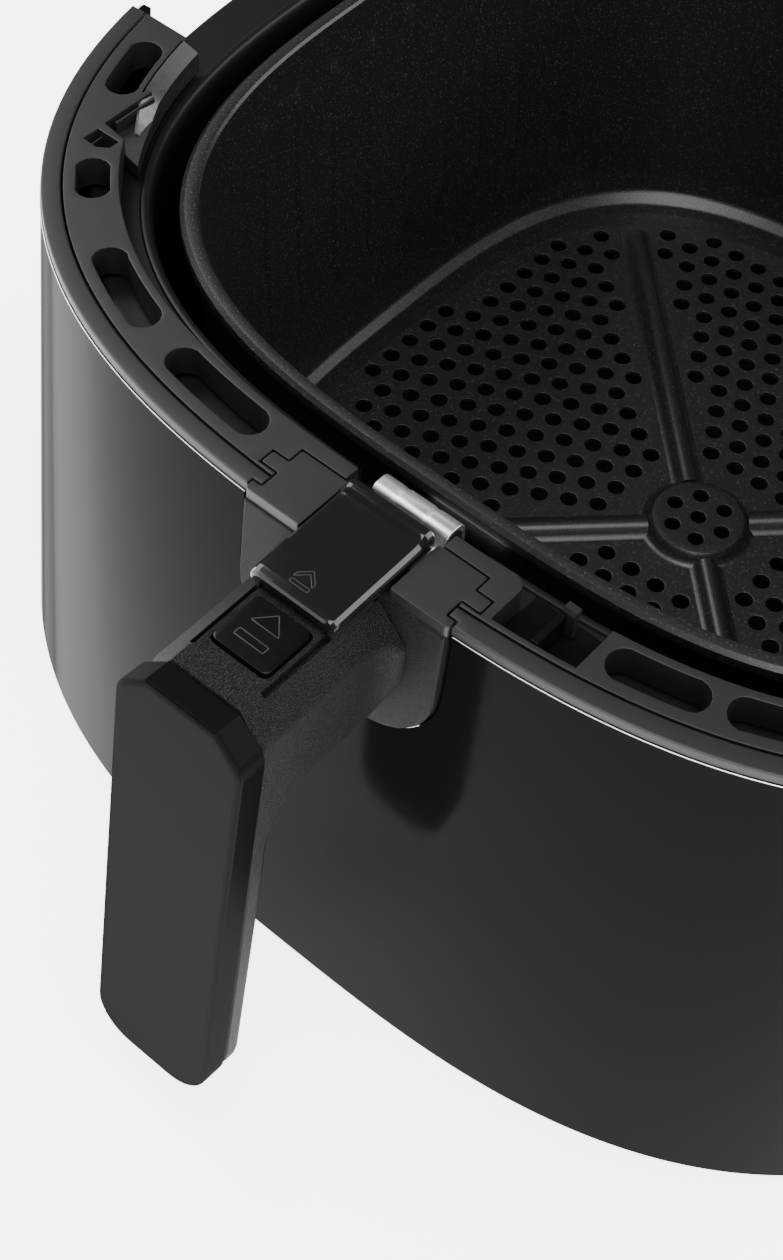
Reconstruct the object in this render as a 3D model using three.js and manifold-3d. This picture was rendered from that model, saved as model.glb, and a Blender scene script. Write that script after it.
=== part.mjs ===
// Air fryer drawer: front shell, pan, lift-out basket and handle with its release mechanism.
// Millimetres, +Z up. The origin is on the table, on the basket's vertical axis; the handle points to -Y.
import * as THREE from 'three';
import { mergeVertices } from 'three/addons/utils/BufferGeometryUtils.js';
import Module from 'manifold-3d';

const wasm = await Module();
wasm.setup();

// ---- driving dimensions ----
const SEGMENTS = 56; // facets round each rounded-square outline
const GAP = 0.35; // clearance between neighbouring pieces
const RING_TOP = 142; // top of the ring frame
const BASKET_FLOOR = 19.6; // top of the basket floor
const BASKET_RIM = 133.6;
const BASKET_HALF = 118.3; // half width over the rolled rim
const PAN_HALF = 124.3; // half width of the pan's wall at the top
const FLANGE = { half: 138, low: 132.4, high: 134 };
const SHELL = { foot: 0.5, top: 139.2, halfAtFoot: 158.6, halfAtTop: 148.5, wall: 2.2 };
const SHELL_END_Y = -54; // the shell wraps the front only
const RING_END_Y = -58.5;
const RING = { inner: 130.6, outer: 143.6, plate: 2.5, skirt: 2 };
const LIP = { inner: 144, outer: 148.3 };
const NOTCH = { half: 26, bottom: 101, corner: 20 }; // U-shaped cut in the shell for the tongue
const ARM = { top: 138.9, bottom: 105.5, half: 14.6, flatHalf: 9.1, front: -184 };
const GRIP = { half: 15.8, top: 138.1, topY: -181.4, length: 120, lean: 7, back: 5.2, cap: 6.8 };
const COVER = { half: 10.5, front: -163.8, rear: -134.4, low: 140.8, top: 143.7 };
const BUTTON = { half: 6.9, front: -178.2, rear: -165.2, top: 139.9, low: 131, stemLow: 121.7 };
const RUNNER_X = 9.04; // the cover's two runners and their tracks
const HANGER = { x0: -7, x1: 11.9, sheet: 1, tail: 139 }; // bent strip; tail is its height under the cover
const SADDLE = 12.3; // half width of the gap in the ring and mount that the strip passes through
const RIVETS = [-2.5, 7.5];
const PIVOT = { y: -156, z: 114, pin: 1.5, bore: 1.85 };
const LEVER_ROOM = 3.4; // half width of the channel that the lever works in
const MOUNT_SCREWS = { x: [-11.2, 11.2], z: 119, bore: 1.85 };
const BOSSES = [[146.5, 26], [140.5, 112]]; // x, z of the screw bosses inside the shell
const FOOT = { spread: 109.7, angles: [45, 135, 225, 315] }; // the basket's silicone feet

const COLOURS = {
  shell: [0x3a3b3d, 0.38, 0.35], ring: [0x26272a, 0.6, 0], nonstick: [0x17181a, 0.42, 0.1],
  textured: [0x1a1a1b, 0.75, 0], cap: [0x121213, 0.4, 0], gloss: [0x0a0a0b, 0.12, 0],
  steel: [0xb8babc, 0.25, 1], silicone: [0x202020, 0.85, 0], clip: [0x6b6c6e, 0.5, 0.1],
};

// ---- making, cutting and joining closed solids ----
function cleaned(geometry) {
  const bare = new THREE.BufferGeometry();
  bare.setAttribute('position', geometry.getAttribute('position'));
  if (geometry.index) bare.setIndex(geometry.index);
  const merged = mergeVertices(bare, 1e-3);
  const position = merged.getAttribute('position');
  const kept = [];
  let volume = 0;
  const corner = [new THREE.Vector3(), new THREE.Vector3(), new THREE.Vector3()];
  for (let i = 0; i < merged.index.count; i += 3) {
    const ids = [0, 1, 2].map((k) => merged.index.getX(i + k));
    if (ids[0] === ids[1] || ids[1] === ids[2] || ids[0] === ids[2]) continue;
    ids.forEach((id, k) => corner[k].fromBufferAttribute(position, id));
    volume += corner[0].dot(corner[1].clone().cross(corner[2]));
    kept.push(...ids);
  }
  if (volume < 0) kept.reverse();
  merged.setIndex(kept);
  return merged;
}

function solid(geometry) {
  const g = cleaned(geometry);
  const triVerts = new Uint32Array(g.index.array);
  const vertProperties = new Float32Array(g.getAttribute('position').array);
  return new wasm.Manifold(new wasm.Mesh({ numProp: 3, vertProperties, triVerts }));
}

function geometryOf(body) {
  const mesh = body.getMesh();
  const geometry = new THREE.BufferGeometry();
  geometry.setAttribute('position', new THREE.BufferAttribute(new Float32Array(mesh.vertProperties), 3));
  geometry.setIndex(Array.from(mesh.triVerts));
  return geometry;
}

const joined = (...bodies) => bodies.reduce((sum, body) => sum.add(body));
const cut = (body, ...tools) => tools.reduce((rest, tool) => rest.subtract(tool), body);

function box(low, high) {
  const size = high.map((value, i) => value - low[i]);
  const geometry = new THREE.BoxGeometry(...size);
  geometry.translate(...low.map((value, i) => value + size[i] / 2));
  return solid(geometry);
}

function rod(axis, from, to, radius, centre, sides = 16) {
  const geometry = new THREE.CylinderGeometry(radius, radius, to - from, sides);
  if (axis === 'x') geometry.rotateZ(Math.PI / 2);
  if (axis === 'z') geometry.rotateX(Math.PI / 2);
  const middle = (from + to) / 2;
  const place = { x: [middle, ...centre], y: [centre[0], middle, centre[1]], z: [...centre, middle] };
  geometry.translate(...place[axis]);
  return solid(geometry);
}

function extruded(shape, depth, curveSegments) {
  return new THREE.ExtrudeGeometry(shape, { depth, bevelEnabled: false, curveSegments });
}

// a plan outline raised from z = low to z = high
function slab(shape, low, high, curveSegments = 6) {
  const geometry = extruded(shape, high - low, curveSegments);
  geometry.translate(0, 0, low);
  return solid(geometry);
}

// an outline drawn in x and z, carried along y
function alongY(shape, front, rear, curveSegments = 6) {
  const geometry = extruded(shape, rear - front, curveSegments);
  geometry.rotateX(Math.PI / 2);
  geometry.translate(0, rear, 0);
  return solid(geometry);
}

// an outline drawn in y and z, carried along x
function alongX(shape, low, high, curveSegments = 6) {
  const geometry = extruded(shape, high - low, curveSegments);
  geometry.rotateY(Math.PI / 2);
  geometry.rotateX(Math.PI / 2);
  geometry.translate(low, 0, 0);
  return solid(geometry);
}

const outline = (points) => new THREE.Shape(points.map(([u, v]) => new THREE.Vector2(u, v)));

function roundedBox(u0, v0, u1, v1, rLow, rHigh = rLow) {
  const shape = new THREE.Shape();
  shape.moveTo(u0 + rLow, v0);
  shape.absarc(u1 - rLow, v0 + rLow, rLow, -Math.PI / 2, 0);
  shape.absarc(u1 - rHigh, v1 - rHigh, rHigh, 0, Math.PI / 2);
  shape.absarc(u0 + rHigh, v1 - rHigh, rHigh, Math.PI / 2, Math.PI);
  shape.absarc(u0 + rLow, v0 + rLow, rLow, Math.PI, 1.5 * Math.PI);
  return shape;
}

// ---- rounded-square outlines: |x|^n + |y|^n = a^n, squarer near the basket than at the shell ----
function cornerPower(a) {
  const steps = [[0, 2], [20, 2], [95, 3.15], [120, 3.15], [132, 3], [143, 2.82], [150, 2.78], [160, 2.75]];
  const at = steps.findIndex(([limit]) => a <= limit);
  if (at <= 0) return at === 0 ? 2 : 2.75;
  const [[a0, n0], [a1, n1]] = [steps[at - 1], steps[at]];
  return n0 + ((n1 - n0) * (a - a0)) / (a1 - a0);
}

function reach(a, angle) {
  const n = cornerPower(a);
  return a * (Math.abs(Math.cos(angle)) ** n + Math.abs(Math.sin(angle)) ** n) ** (-1 / n);
}

// a closed profile of [half width, z] turned round the vertical axis and squared up
function turned(profile, segments = SEGMENTS) {
  const geometry = new THREE.LatheGeometry(profile.map(([a, z]) => new THREE.Vector2(a, z)), segments);
  geometry.rotateX(Math.PI / 2);
  const position = geometry.getAttribute('position');
  for (let i = 0; i < position.count; i += 1) {
    const [x, y] = [position.getX(i), position.getY(i)];
    const a = Math.hypot(x, y);
    if (a < 1e-6) {
      position.setXY(i, 0, 0);
      continue;
    }
    const scale = reach(a, Math.atan2(y, x)) / a;
    position.setXY(i, x * scale, y * scale);
  }
  return solid(geometry);
}

const band = (profile) => turned([...profile, profile[0]]);

// quarter-round between a wall and a floor, from angle a0 to a1 about [cu, cv]
function arc(cu, cv, radius, a0, a1, steps = 4) {
  const points = [];
  for (let i = 0; i <= steps; i += 1) {
    const t = THREE.MathUtils.degToRad(a0 + ((a1 - a0) * i) / steps);
    points.push([cu + radius * Math.cos(t), cv + radius * Math.sin(t)]);
  }
  return points;
}

const behind = (y) => box([-200, y, -10], [200, 200, 200]);

// a point on the outline of half width a, at an angle in degrees from the front, positive to the right
function onOutline(a, degrees) {
  const angle = THREE.MathUtils.degToRad(degrees - 90);
  const r = reach(a, angle);
  return [r * Math.cos(angle), r * Math.sin(angle)];
}

// ---- drawer: pan ----
function pan() {
  const body = turned([
    [0, 0], [104, 0], ...arc(106, 14, 14, -90, -8, 4), [PAN_HALF, FLANGE.low], [FLANGE.half, FLANGE.low],
    [FLANGE.half, FLANGE.high], [PAN_HALF + 2, FLANGE.high], [PAN_HALF - 1.4, FLANGE.low - 0.6],
    ...arc(104.6, 14.6, 13, -8, -90, 4), [0, 1.6],
  ]);
  return cut(body, box([-17, -130.8, 117], [17, -110, 140])); // gap for the hanger bracket
}

function shellHalf(z) {
  const share = (z - SHELL.foot) / (SHELL.top - SHELL.foot);
  return SHELL.halfAtFoot + (SHELL.halfAtTop - SHELL.halfAtFoot) * share;
}

function notchShape(grow) {
  const half = NOTCH.half + grow;
  const bottom = NOTCH.bottom - grow;
  return roundedBox(-half, bottom, half, 190, NOTCH.corner, 1);
}

// ---- drawer: painted shell with its screw bosses ----
function frontShell() {
  const [low, high] = [SHELL.foot, SHELL.top];
  const inner = (z) => shellHalf(z) - SHELL.wall;
  let body = band([[shellHalf(low), low], [shellHalf(high), high], [inner(high), high], [inner(low), low]]);
  const inside = band([[shellHalf(low) - 1, low], [shellHalf(high) - 1, high], [110, high], [110, low]]);
  for (const side of [-1, 1]) {
    for (const [x, z] of BOSSES) {
      body = body.add(rod('y', -76, -59, 5, [side * x, z], 12).intersect(inside));
      body = body.subtract(rod('y', -73, -50, 1.9, [side * x, z], 8));
    }
  }
  return cut(body, behind(SHELL_END_Y), alongY(notchShape(0), -200, -100));
}

// closing panel between the shell's rear edge and the pan
function sidePanel(side) {
  const [low, high] = [5, 131.4];
  const wall = (z) => shellHalf(z) - SHELL.wall - GAP;
  const fill = band([[126, low], [wall(low), low], [wall(high), high], [126, high]]);
  const [x0, x1] = side < 0 ? [-180, -60] : [60, 180];
  const slice = fill.intersect(box([x0, -58.6, 0], [x1, -55.4, 140]));
  return cut(slice, ...BOSSES.map(([x, z]) => rod('y', -60, -50, 1.95, [side * x, z], 12)));
}

function screw(axis, tip, head, centre, shank = 1.5, cap = 3.4) {
  const step = head > tip ? 1.9 : -1.9;
  const body = rod(axis, Math.min(tip, head), Math.max(tip, head), shank, centre, 10);
  return body.add(rod(axis, Math.min(head, head + step), Math.max(head, head + step), cap, centre, 16));
}

function baseFrame() {
  const outer = shellHalf(1) - SHELL.wall - GAP;
  const upper = shellHalf(5) - SHELL.wall - GAP;
  const body = band([[127, 0.9], [outer, 0.9], [upper, 4.4], [upper - 2, 4.4], [upper - 3, 3], [127, 3]]);
  return cut(body, behind(-60));
}

// ---- drawer: ring frame on top of the shell ----
// curved slot with round ends, centred on the outline of half width a
function slotTool(a, from, to, half) {
  const points = [];
  const steps = Math.max(1, Math.round((to - from) / 2));
  const side = (offset, start, stop) => {
    for (let i = 0; i <= steps; i += 1) {
      points.push(onOutline(a + offset, start + ((stop - start) * i) / steps));
    }
  };
  const roundEnd = (degrees) => {
    const [cx, cy] = onOutline(a, degrees);
    const [px, py] = points[points.length - 1];
    const start = Math.atan2(py - cy, px - cx);
    for (const k of [1, 2, 3]) {
      const t = start - (k * Math.PI) / 4;
      points.push([cx + half * Math.cos(t), cy + half * Math.sin(t)]);
    }
  };
  side(-half, from, to);
  roundEnd(to);
  side(half, to, from);
  roundEnd(from);
  return slab(outline(points), 130, 150);
}

const SLOTS = {
  half: 4,
  centre: 136.6,
  left: [[-23, -15], [-35.6, -29.2], [-46.3, -44.5], [-62, -57.6]], // degrees from the front
  right: [[22.3, 27.2], [31.4, 37], [44.5, 46.3], [57.6, 62]],
};

// interlocking outline of the handle mount: half widths from the inner edge outwards
const PLATE = [[23.6, -134.2], [23.6, -138.1], [27.7, -138.1], [27.7, -142.3], [23.3, -142.3],
  [23.3, -146.3], [25.6, -146.3]];

function plateShape(shrink, frontY) {
  const right = PLATE.map(([x, y], i) => [x - shrink, i === 3 || i === 4 ? y + shrink : y - shrink]);
  right.push([25.6 - shrink, frontY]);
  const left = right.map(([x, y]) => [-x, y]).reverse();
  return outline([...right, ...left]);
}

// the recess on the right, open to the inside
const RECESS = { x0: 29.7, x1: 48.1, y0: -139.8, y1: -127.4, floor: 135.4 };

// ledge inside the ring's rear end, which tapers away towards the front
function ledge(side) {
  const plan = [[122.1, RING_END_Y], [130, RING_END_Y], [119, -88.7], [115.2, -88.7]];
  return slab(outline(plan.map(([x, y]) => [side * x, y])), FLANGE.high + 0.5, 138);
}

function ringFrame() {
  const plate = RING_TOP - RING.plate;
  const skirt = RING.inner + RING.skirt;
  const low = FLANGE.high + 0.4;
  const profile = [[RING.inner + 0.8, RING_TOP], [RING.inner, RING_TOP - 0.8], [RING.inner, low],
    [skirt, low], [skirt, plate], [RING.outer, plate], [RING.outer, RING_TOP]];
  const slots = [...SLOTS.left, ...SLOTS.right];
  const slotTools = slots.map(([a0, a1]) => slotTool(SLOTS.centre, a0, a1, SLOTS.half));
  const recess = slab(roundedBox(RECESS.x0, RECESS.y0, RECESS.x1, RECESS.y1, 1.2), 130, 150);
  const opening = slab(plateShape(0, -160), 130, 150);
  const saddle = box([-SADDLE, -137, HANGER.tail - 1], [SADDLE, -128, 150]);
  const body = joined(band(profile), ledge(-1), ledge(1));
  return cut(body, behind(RING_END_Y), opening, saddle, recess, ...slotTools);
}

function outerLip(side) {
  const low = SHELL.top + GAP;
  const profile = [[LIP.inner, low], [LIP.outer, low], [LIP.outer - 0.3, RING_TOP - 0.9],
    [LIP.outer - 1.5, RING_TOP], [LIP.inner, RING_TOP]];
  const [x0, x1] = side < 0 ? [0, 200] : [-200, 0];
  const otherSide = box([x0, -200, 120], [x1, 200, 160]);
  return cut(band(profile), behind(RING_END_Y), slab(plateShape(0, -160), 130, 150), otherSide);
}

function recessInsert() {
  const { x0, x1, y0, y1, floor } = RECESS;
  const tray = slab(roundedBox(x0 + 0.4, y0 + 0.4, x1 - 0.4, y1, 1), floor - 1, floor, 3);
  return tray.add(box([38.1, y0 + 0.6, floor - 0.5], [39.6, -131.6, RING_TOP - 0.3]));
}

function snapClip() {
  const run = outline([[-131.2, 135.8], [-131.2, 142], [-130.6, 142.8], [-129, 142.8], [-128.6, 141.8],
    [-129.6, 141.2], [-130, 135.8]]);
  return alongX(run, 38.2, 41.2);
}

// small steel tab under the flange's front edge that the latch hook catches
function latchCatch() {
  const run = outline([[-137.9, 132], [-137.9, 130.8], [-132.6, 130.8], [-132.6, 126], [-131.4, 126],
    [-131.4, 132]]);
  return alongX(run, -6, 6);
}

// ---- basket ----
function basket() {
  const body = turned([
    [0, 21.9], [11.2, 21.9], [14.8, 18.4], [96, 18.4], ...arc(96.6, 32.4, 14, -90, -5, 4), [115.4, 128.6],
    [117.4, 128.6], [BASKET_HALF, 130], [BASKET_HALF, 132.6], [117.2, BASKET_RIM], [115.7, BASKET_RIM],
    [114.2, 130.4], ...arc(96.2, 32.6, 13, -5, -90, 4), [15.4, BASKET_FLOOR], [11.8, 23.2], [0, 23.2],
  ]);
  return ribs().reduce((sum, rib) => sum.add(rib), body);
}

// raised diagonal ribs that brace the floor
function ribs() {
  const run = outline([[-3, BASKET_FLOOR - 0.6], [3, BASKET_FLOOR - 0.6], [1.8, BASKET_FLOOR + 2.4],
    [-1.8, BASKET_FLOOR + 2.4]]);
  return FOOT.angles.map((degrees) => {
    const geometry = extruded(run, 98, 1);
    geometry.rotateX(Math.PI / 2);
    geometry.translate(0, -12, 0);
    geometry.rotateZ(THREE.MathUtils.degToRad(degrees));
    return solid(geometry);
  });
}

function basketFoot(degrees) {
  const angle = THREE.MathUtils.degToRad(degrees);
  const profile = [[0, 1.95], [4.2, 1.95], [5.4, 3.4], [6.2, 18.1], [0, 18.1]];
  const geometry = new THREE.LatheGeometry(profile.map(([u, v]) => new THREE.Vector2(u, v)), 16);
  geometry.rotateX(Math.PI / 2);
  geometry.translate(FOOT.spread * Math.cos(angle), FOOT.spread * Math.sin(angle), 0);
  return solid(geometry);
}

// bent stainless strip that joins the handle mount to the basket wall
function hangerBracket() {
  const t = HANGER.sheet;
  const centre = [[-141.2, HANGER.tail], [-134.2, HANGER.tail], [-133.2, 139.6], [-132.4, 141.4],
    [-131.2, 142.4], [-129.6, 142.6], [-128.2, 142], [-127.3, 140.2], [-126.6, 123.2], [-125.8, 121.4],
    [-124, 120.6], [-119.6, 120.6], [-117.8, 119.8], [-117.2, 118], [-116.4, 100]];
  const sides = [[], []];
  centre.forEach(([y, z], i) => {
    const [y0, z0] = centre[Math.max(0, i - 1)];
    const [y1, z1] = centre[Math.min(centre.length - 1, i + 1)];
    const length = Math.hypot(y1 - y0, z1 - z0);
    const [ny, nz] = [-(z1 - z0) / length, (y1 - y0) / length];
    sides[0].push([y + (ny * t) / 2, z + (nz * t) / 2]);
    sides[1].push([y - (ny * t) / 2, z - (nz * t) / 2]);
  });
  const body = alongX(outline([...sides[0], ...sides[1].reverse()]), HANGER.x0, HANGER.x1);
  const holes = RIVETS.map((x) => rod('y', -130, -110, 2.3, [x, 110], 12));
  return cut(body, ...holes);
}

function rivet(x) {
  const shank = rod('y', -118.4, -114.9, 1.9, [x, 110], 12);
  const head = rod('y', -119.4, -118, 3.8, [x, 110], 16);
  return shank.add(head);
}

// ---- handle ----
const screwBores = () => MOUNT_SCREWS.x.map((x) => (
  rod('y', -166, -140, MOUNT_SCREWS.bore, [x, MOUNT_SCREWS.z], 12)));

function handleMount() {
  const plate = slab(plateShape(GAP, -148.4), 136.4, RING_TOP);
  const half = NOTCH.half - GAP - 0.1;
  const tongueShape = roundedBox(-half, NOTCH.bottom + 0.5, half, ARM.top, NOTCH.corner - 0.4, 1);
  const tongue = alongY(tongueShape, -152.8, -138.75).intersect(slab(plateShape(GAP, -160), 90, 150));
  const slope = outline([[-148.4, 142.4], [-149.4, 139.2], [-152.4, 96], [-170, 96], [-170, 160],
    [-148.4, 160]]);
  const channel = box([-11.3, -170, ARM.top], [11.3, -120, 160]);
  const room = box([-LEVER_ROOM, -160, 107.8], [LEVER_ROOM, -120, 136]);
  const hollow = alongY(roundedBox(-21.5, 105, 21.5, 134.6, 16, 2), -147.8, -130);
  const rib = box([-6.4, -160, 96], [6.4, -120, 136]);
  const pocket = box([-SADDLE, -142, HANGER.tail - 0.8], [SADDLE, -120, 160]);
  const shell = cut(plate.add(tongue), alongX(slope, -60, 60), channel, pocket);
  return cut(shell, cut(hollow, rib), room, ...screwBores());
}

function armShape() {
  const shape = new THREE.Shape();
  shape.moveTo(-9, ARM.bottom);
  shape.lineTo(9, ARM.bottom);
  shape.quadraticCurveTo(ARM.half - 0.8, ARM.bottom, ARM.half, ARM.bottom + 7);
  shape.lineTo(ARM.half, ARM.top - 7);
  shape.quadraticCurveTo(ARM.half - 0.4, ARM.top, ARM.flatHalf, ARM.top);
  shape.lineTo(-ARM.flatHalf, ARM.top);
  shape.quadraticCurveTo(-ARM.half + 0.4, ARM.top, -ARM.half, ARM.top - 7);
  shape.lineTo(-ARM.half, ARM.bottom + 7);
  shape.quadraticCurveTo(-ARM.half + 0.8, ARM.bottom, -9, ARM.bottom);
  return shape;
}

// a leaning slab of the grip: offset forwards from the grip's back face, with a given thickness
function gripSlab(offset, thickness, inset, bevel) {
  const half = GRIP.half - inset;
  const length = GRIP.length - 2 * inset;
  const shape = roundedBox(-half + bevel, -length + bevel, half - bevel, -bevel, 10, 7);
  const geometry = new THREE.ExtrudeGeometry(shape, {
    depth: thickness - bevel,
    bevelEnabled: bevel > 0,
    bevelThickness: bevel,
    bevelSize: bevel,
    bevelSegments: 2,
    curveSegments: 5,
  });
  const position = geometry.getAttribute('position');
  for (let i = 0; i < position.count; i += 1) { // keep the bevel on the front face only
    if (position.getZ(i) < 0) position.setZ(i, 0);
  }
  const lean = THREE.MathUtils.degToRad(GRIP.lean);
  geometry.rotateX(Math.PI / 2);
  geometry.rotateX(-lean);
  geometry.translate(0, GRIP.topY - offset * Math.cos(lean), GRIP.top - inset + offset * Math.sin(lean));
  return solid(geometry);
}

function handleArm() {
  const tongueSide = outline([[-148.75, 142.4], [-149.75, 139.2], [-152.75, 96], [-120, 96], [-120, 160],
    [-148.75, 160]]);
  const arm = cut(alongY(armShape(), ARM.front, -145), alongX(tongueSide, -60, 60));
  const back = gripSlab(0, GRIP.back, 0.4, 0);
  // concave web under the arm, faired into the grip
  const web = new THREE.Shape();
  web.moveTo(-166, ARM.bottom + 1);
  web.quadraticCurveTo(-182, ARM.bottom - 1, -184.6, 84);
  web.lineTo(-188.4, 84);
  web.lineTo(-184, 120);
  web.lineTo(-166, 120);
  const fillet = alongX(web, -12.5, 12.5);
  const well = box([-7.3, -178.6, 124], [7.3, -164.8, 150]);
  const room = box([-LEVER_ROOM, -177.5, 108.4], [LEVER_ROOM, -150, 124.2]);
  const mouth = box([-LEVER_ROOM, -166, 108.4], [LEVER_ROOM, -150, 134.6]);
  const tracks = [-RUNNER_X, RUNNER_X].map((x) => box([x - 0.9, -181.2, 136.2], [x + 0.9, -150, 150]));
  const bore = rod('x', -20, 8.4, PIVOT.bore, [PIVOT.y, PIVOT.z], 12);
  return cut(joined(arm, back, fillet), well, room, mouth, ...tracks, ...screwBores(), bore);
}

function gripCap() {
  return gripSlab(GRIP.back + 0.3, GRIP.cap, 0, 1);
}

function slideCover() {
  const { front, rear, low, top } = COVER;
  const side = outline([[rear, low], [rear, 144.6], [-134.8, 145.4], [-136.4, 145.4], [-137.6, 144.3],
    [front + 1, top], [front, top - 1.2], [front, low]]);
  const body = alongX(side, -COVER.half, COVER.half);
  const edge = (s) => outline([[s * COVER.half, 144.2], [s * 20, 144.2], [s * 20, 150],
    [s * (COVER.half - 2), 150]]);
  return cut(body, alongY(edge(-1), -170, -130), alongY(edge(1), -170, -130));
}

function coverRunner(x) {
  return box([x - 0.55, COVER.front + 0.6, 136.6], [x + 0.55, -151.2, COVER.low - 0.3]);
}

function releaseButton() {
  const { half, front, rear, top, low, stemLow } = BUTTON;
  const shape = roundedBox(-half, front, half, rear, 1.4);
  const cap = slab(shape, low, top, 3);
  const inside = roundedBox(-half + 1.3, front + 1.3, half - 1.3, rear - 1.3, 0.8);
  const hollow = slab(inside, low - 1, top - 1.8, 2);
  const stem = box([-2.4, -175.4, stemLow], [2.4, -169.4, top - 1]);
  return cut(cap, hollow).add(stem);
}

function latchLever() {
  const run = outline([[-176.2, 121.2], [-176.2, 118.6], [-160, 112.2], [-157.8, 110.4], [-154.2, 110.4],
    [-152.2, 113], [-142.6, 126.4], [-138.6, 128], [-138.6, 130.3], [-143.6, 131], [-156, 118.4],
    [-168, 121.2]]);
  return cut(alongX(run, -2.9, 2.9), rod('x', -5, 5, PIVOT.bore, [PIVOT.y, PIVOT.z], 12));
}

function buttonSpring() {
  const [radius, turns, low, high] = [5.2, 4, 124.9, 130.2];
  const steps = 12 * turns;
  const points = [];
  for (let i = 0; i <= steps; i += 1) {
    const t = (i / steps) * turns * 2 * Math.PI;
    const z = low + ((high - low) * i) / steps;
    points.push(new THREE.Vector3(radius * Math.cos(t), -172.4 + radius * Math.sin(t), z));
  }
  const wire = new THREE.Shape();
  wire.absarc(0, 0, 0.4, 0, 2 * Math.PI);
  const extrudePath = new THREE.CatmullRomCurve3(points);
  const options = { steps, extrudePath, curveSegments: 3, bevelEnabled: false };
  return solid(new THREE.ExtrudeGeometry(wire, options));
}

// ---- assembly ----
const drawer = new THREE.Group();

function add(name, body, finish) {
  const [color, roughness, metalness] = COLOURS[finish];
  const material = new THREE.MeshStandardMaterial({ color, roughness, metalness });
  const mesh = new THREE.Mesh(geometryOf(body), material);
  mesh.name = name;
  drawer.add(mesh);
}

add('pan', pan(), 'nonstick');
add('front_shell', frontShell(), 'shell');
add('ring_frame', ringFrame(), 'ring');
add('base_frame', baseFrame(), 'ring');
add('recess_insert', recessInsert(), 'ring');
add('snap_clip', snapClip(), 'clip');
add('latch_catch', latchCatch(), 'steel');
for (const [side, word] of [[-1, 'left'], [1, 'right']]) {
  add(`outer_lip_${word}`, outerLip(side), 'ring');
  add(`side_panel_${word}`, sidePanel(side), 'ring');
  BOSSES.forEach(([x, z], i) => {
    add(`panel_screw_${word}_${i + 1}`, screw('y', -71, -55.1, [side * x, z]), 'steel');
  });
}
add('basket', basket(), 'nonstick');
FOOT.angles.forEach((degrees, i) => add(`basket_foot_${i + 1}`, basketFoot(degrees), 'silicone'));
add('hanger_bracket', hangerBracket(), 'steel');
RIVETS.forEach((x, i) => add(`hanger_rivet_${i + 1}`, rivet(x), 'steel'));
add('handle_mount', handleMount(), 'textured');
add('handle_arm', handleArm(), 'textured');
add('grip_cap', gripCap(), 'cap');
MOUNT_SCREWS.x.forEach((x, i) => {
  add(`handle_screw_${i + 1}`, screw('y', -163, -147.4, [x, MOUNT_SCREWS.z], 1.5, 3.2), 'steel');
});
add('latch_pin', rod('x', -13.2, 8, PIVOT.pin, [PIVOT.y, PIVOT.z], 12), 'steel');
add('button_spring', buttonSpring(), 'steel');
add('slide_cover', slideCover(), 'gloss');
add('cover_runner_left', coverRunner(-RUNNER_X), 'textured');
add('cover_runner_right', coverRunner(RUNNER_X), 'textured');
add('release_button', releaseButton(), 'gloss');
add('latch_lever', latchLever(), 'clip');

export default drawer;
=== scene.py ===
"""Air fryer drawer: front shell, pan, lift-out basket and handle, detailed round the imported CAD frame."""

import math

import bmesh
import bpy
import numpy as np
from mathutils import Matrix, Vector
from mathutils.geometry import delaunay_2d_cdt


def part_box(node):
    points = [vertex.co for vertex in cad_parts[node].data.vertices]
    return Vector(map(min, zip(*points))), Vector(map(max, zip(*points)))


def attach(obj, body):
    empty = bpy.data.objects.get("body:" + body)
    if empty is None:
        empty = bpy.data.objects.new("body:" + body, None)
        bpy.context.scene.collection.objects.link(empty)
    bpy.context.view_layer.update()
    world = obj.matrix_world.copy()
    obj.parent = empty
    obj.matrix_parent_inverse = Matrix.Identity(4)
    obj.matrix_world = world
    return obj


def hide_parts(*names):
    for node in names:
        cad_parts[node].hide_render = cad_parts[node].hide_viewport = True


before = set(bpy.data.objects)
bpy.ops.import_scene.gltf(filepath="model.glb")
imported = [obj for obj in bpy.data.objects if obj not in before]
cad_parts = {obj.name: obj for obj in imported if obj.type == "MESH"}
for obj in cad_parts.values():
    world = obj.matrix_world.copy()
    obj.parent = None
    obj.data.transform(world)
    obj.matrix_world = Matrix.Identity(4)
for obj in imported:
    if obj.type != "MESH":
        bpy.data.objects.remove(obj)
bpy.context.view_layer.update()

# Sizes are in millimetres in the CAD frame: origin on the table under the basket, +Z up, handle to -Y.
MM = 0.001
RING_TOP = 142.0
RING_LOW = 134.5
RING_INNER, RING_OUTER = 130.6, 143.6
RING_END_Y = -58.5
LIP_INNER, LIP_OUTER, LIP_LOW = 144.0, 148.3, 139.55
SHELL_FOOT, SHELL_TOP, SHELL_END_Y = 0.5, 139.2, -54.0
SHELL_FOOT_HALF, SHELL_TOP_HALF = 158.6, 148.5
NOTCH_HALF, NOTCH_BOTTOM, NOTCH_CORNER = 26.0, 101.0, 20.0
BASKET_FLOOR, SHEET = 19.6, 1.2
FLOOR_HALF = 103.3  # where the basket's flat floor ends
PLATE_GAP = 0.35
RUNNER_X = 8.85  # the slide cover's runners and their tracks in the arm
SIDES = ((-1, "left"), (1, "right"))
PANEL_SCREWS = ((146.5, 26), (140.5, 112))  # x, z on the right; the left mirrors them
HANDLE_SCREW_X, HANDLE_SCREW_Z = 11.2, 119
CORNERS = (45, 135, 225, 315)
FOOT_REACH = 109.74
LEAN = math.radians(7.0)  # the grip leans out at its foot
GRIP_TOP = (-181.4, 138.1)  # y, z of the top of the grip's back plane
GRIP_LENGTH, GRIP_HALF, GRIP_BACK, CAP_DEPTH = 120.0, 15.8, 5.2, 6.8
ARM_TOP, ARM_BOTTOM, ARM_HALF, ARM_SLOPE = 138.9, 105.5, 14.6, 5.9
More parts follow.
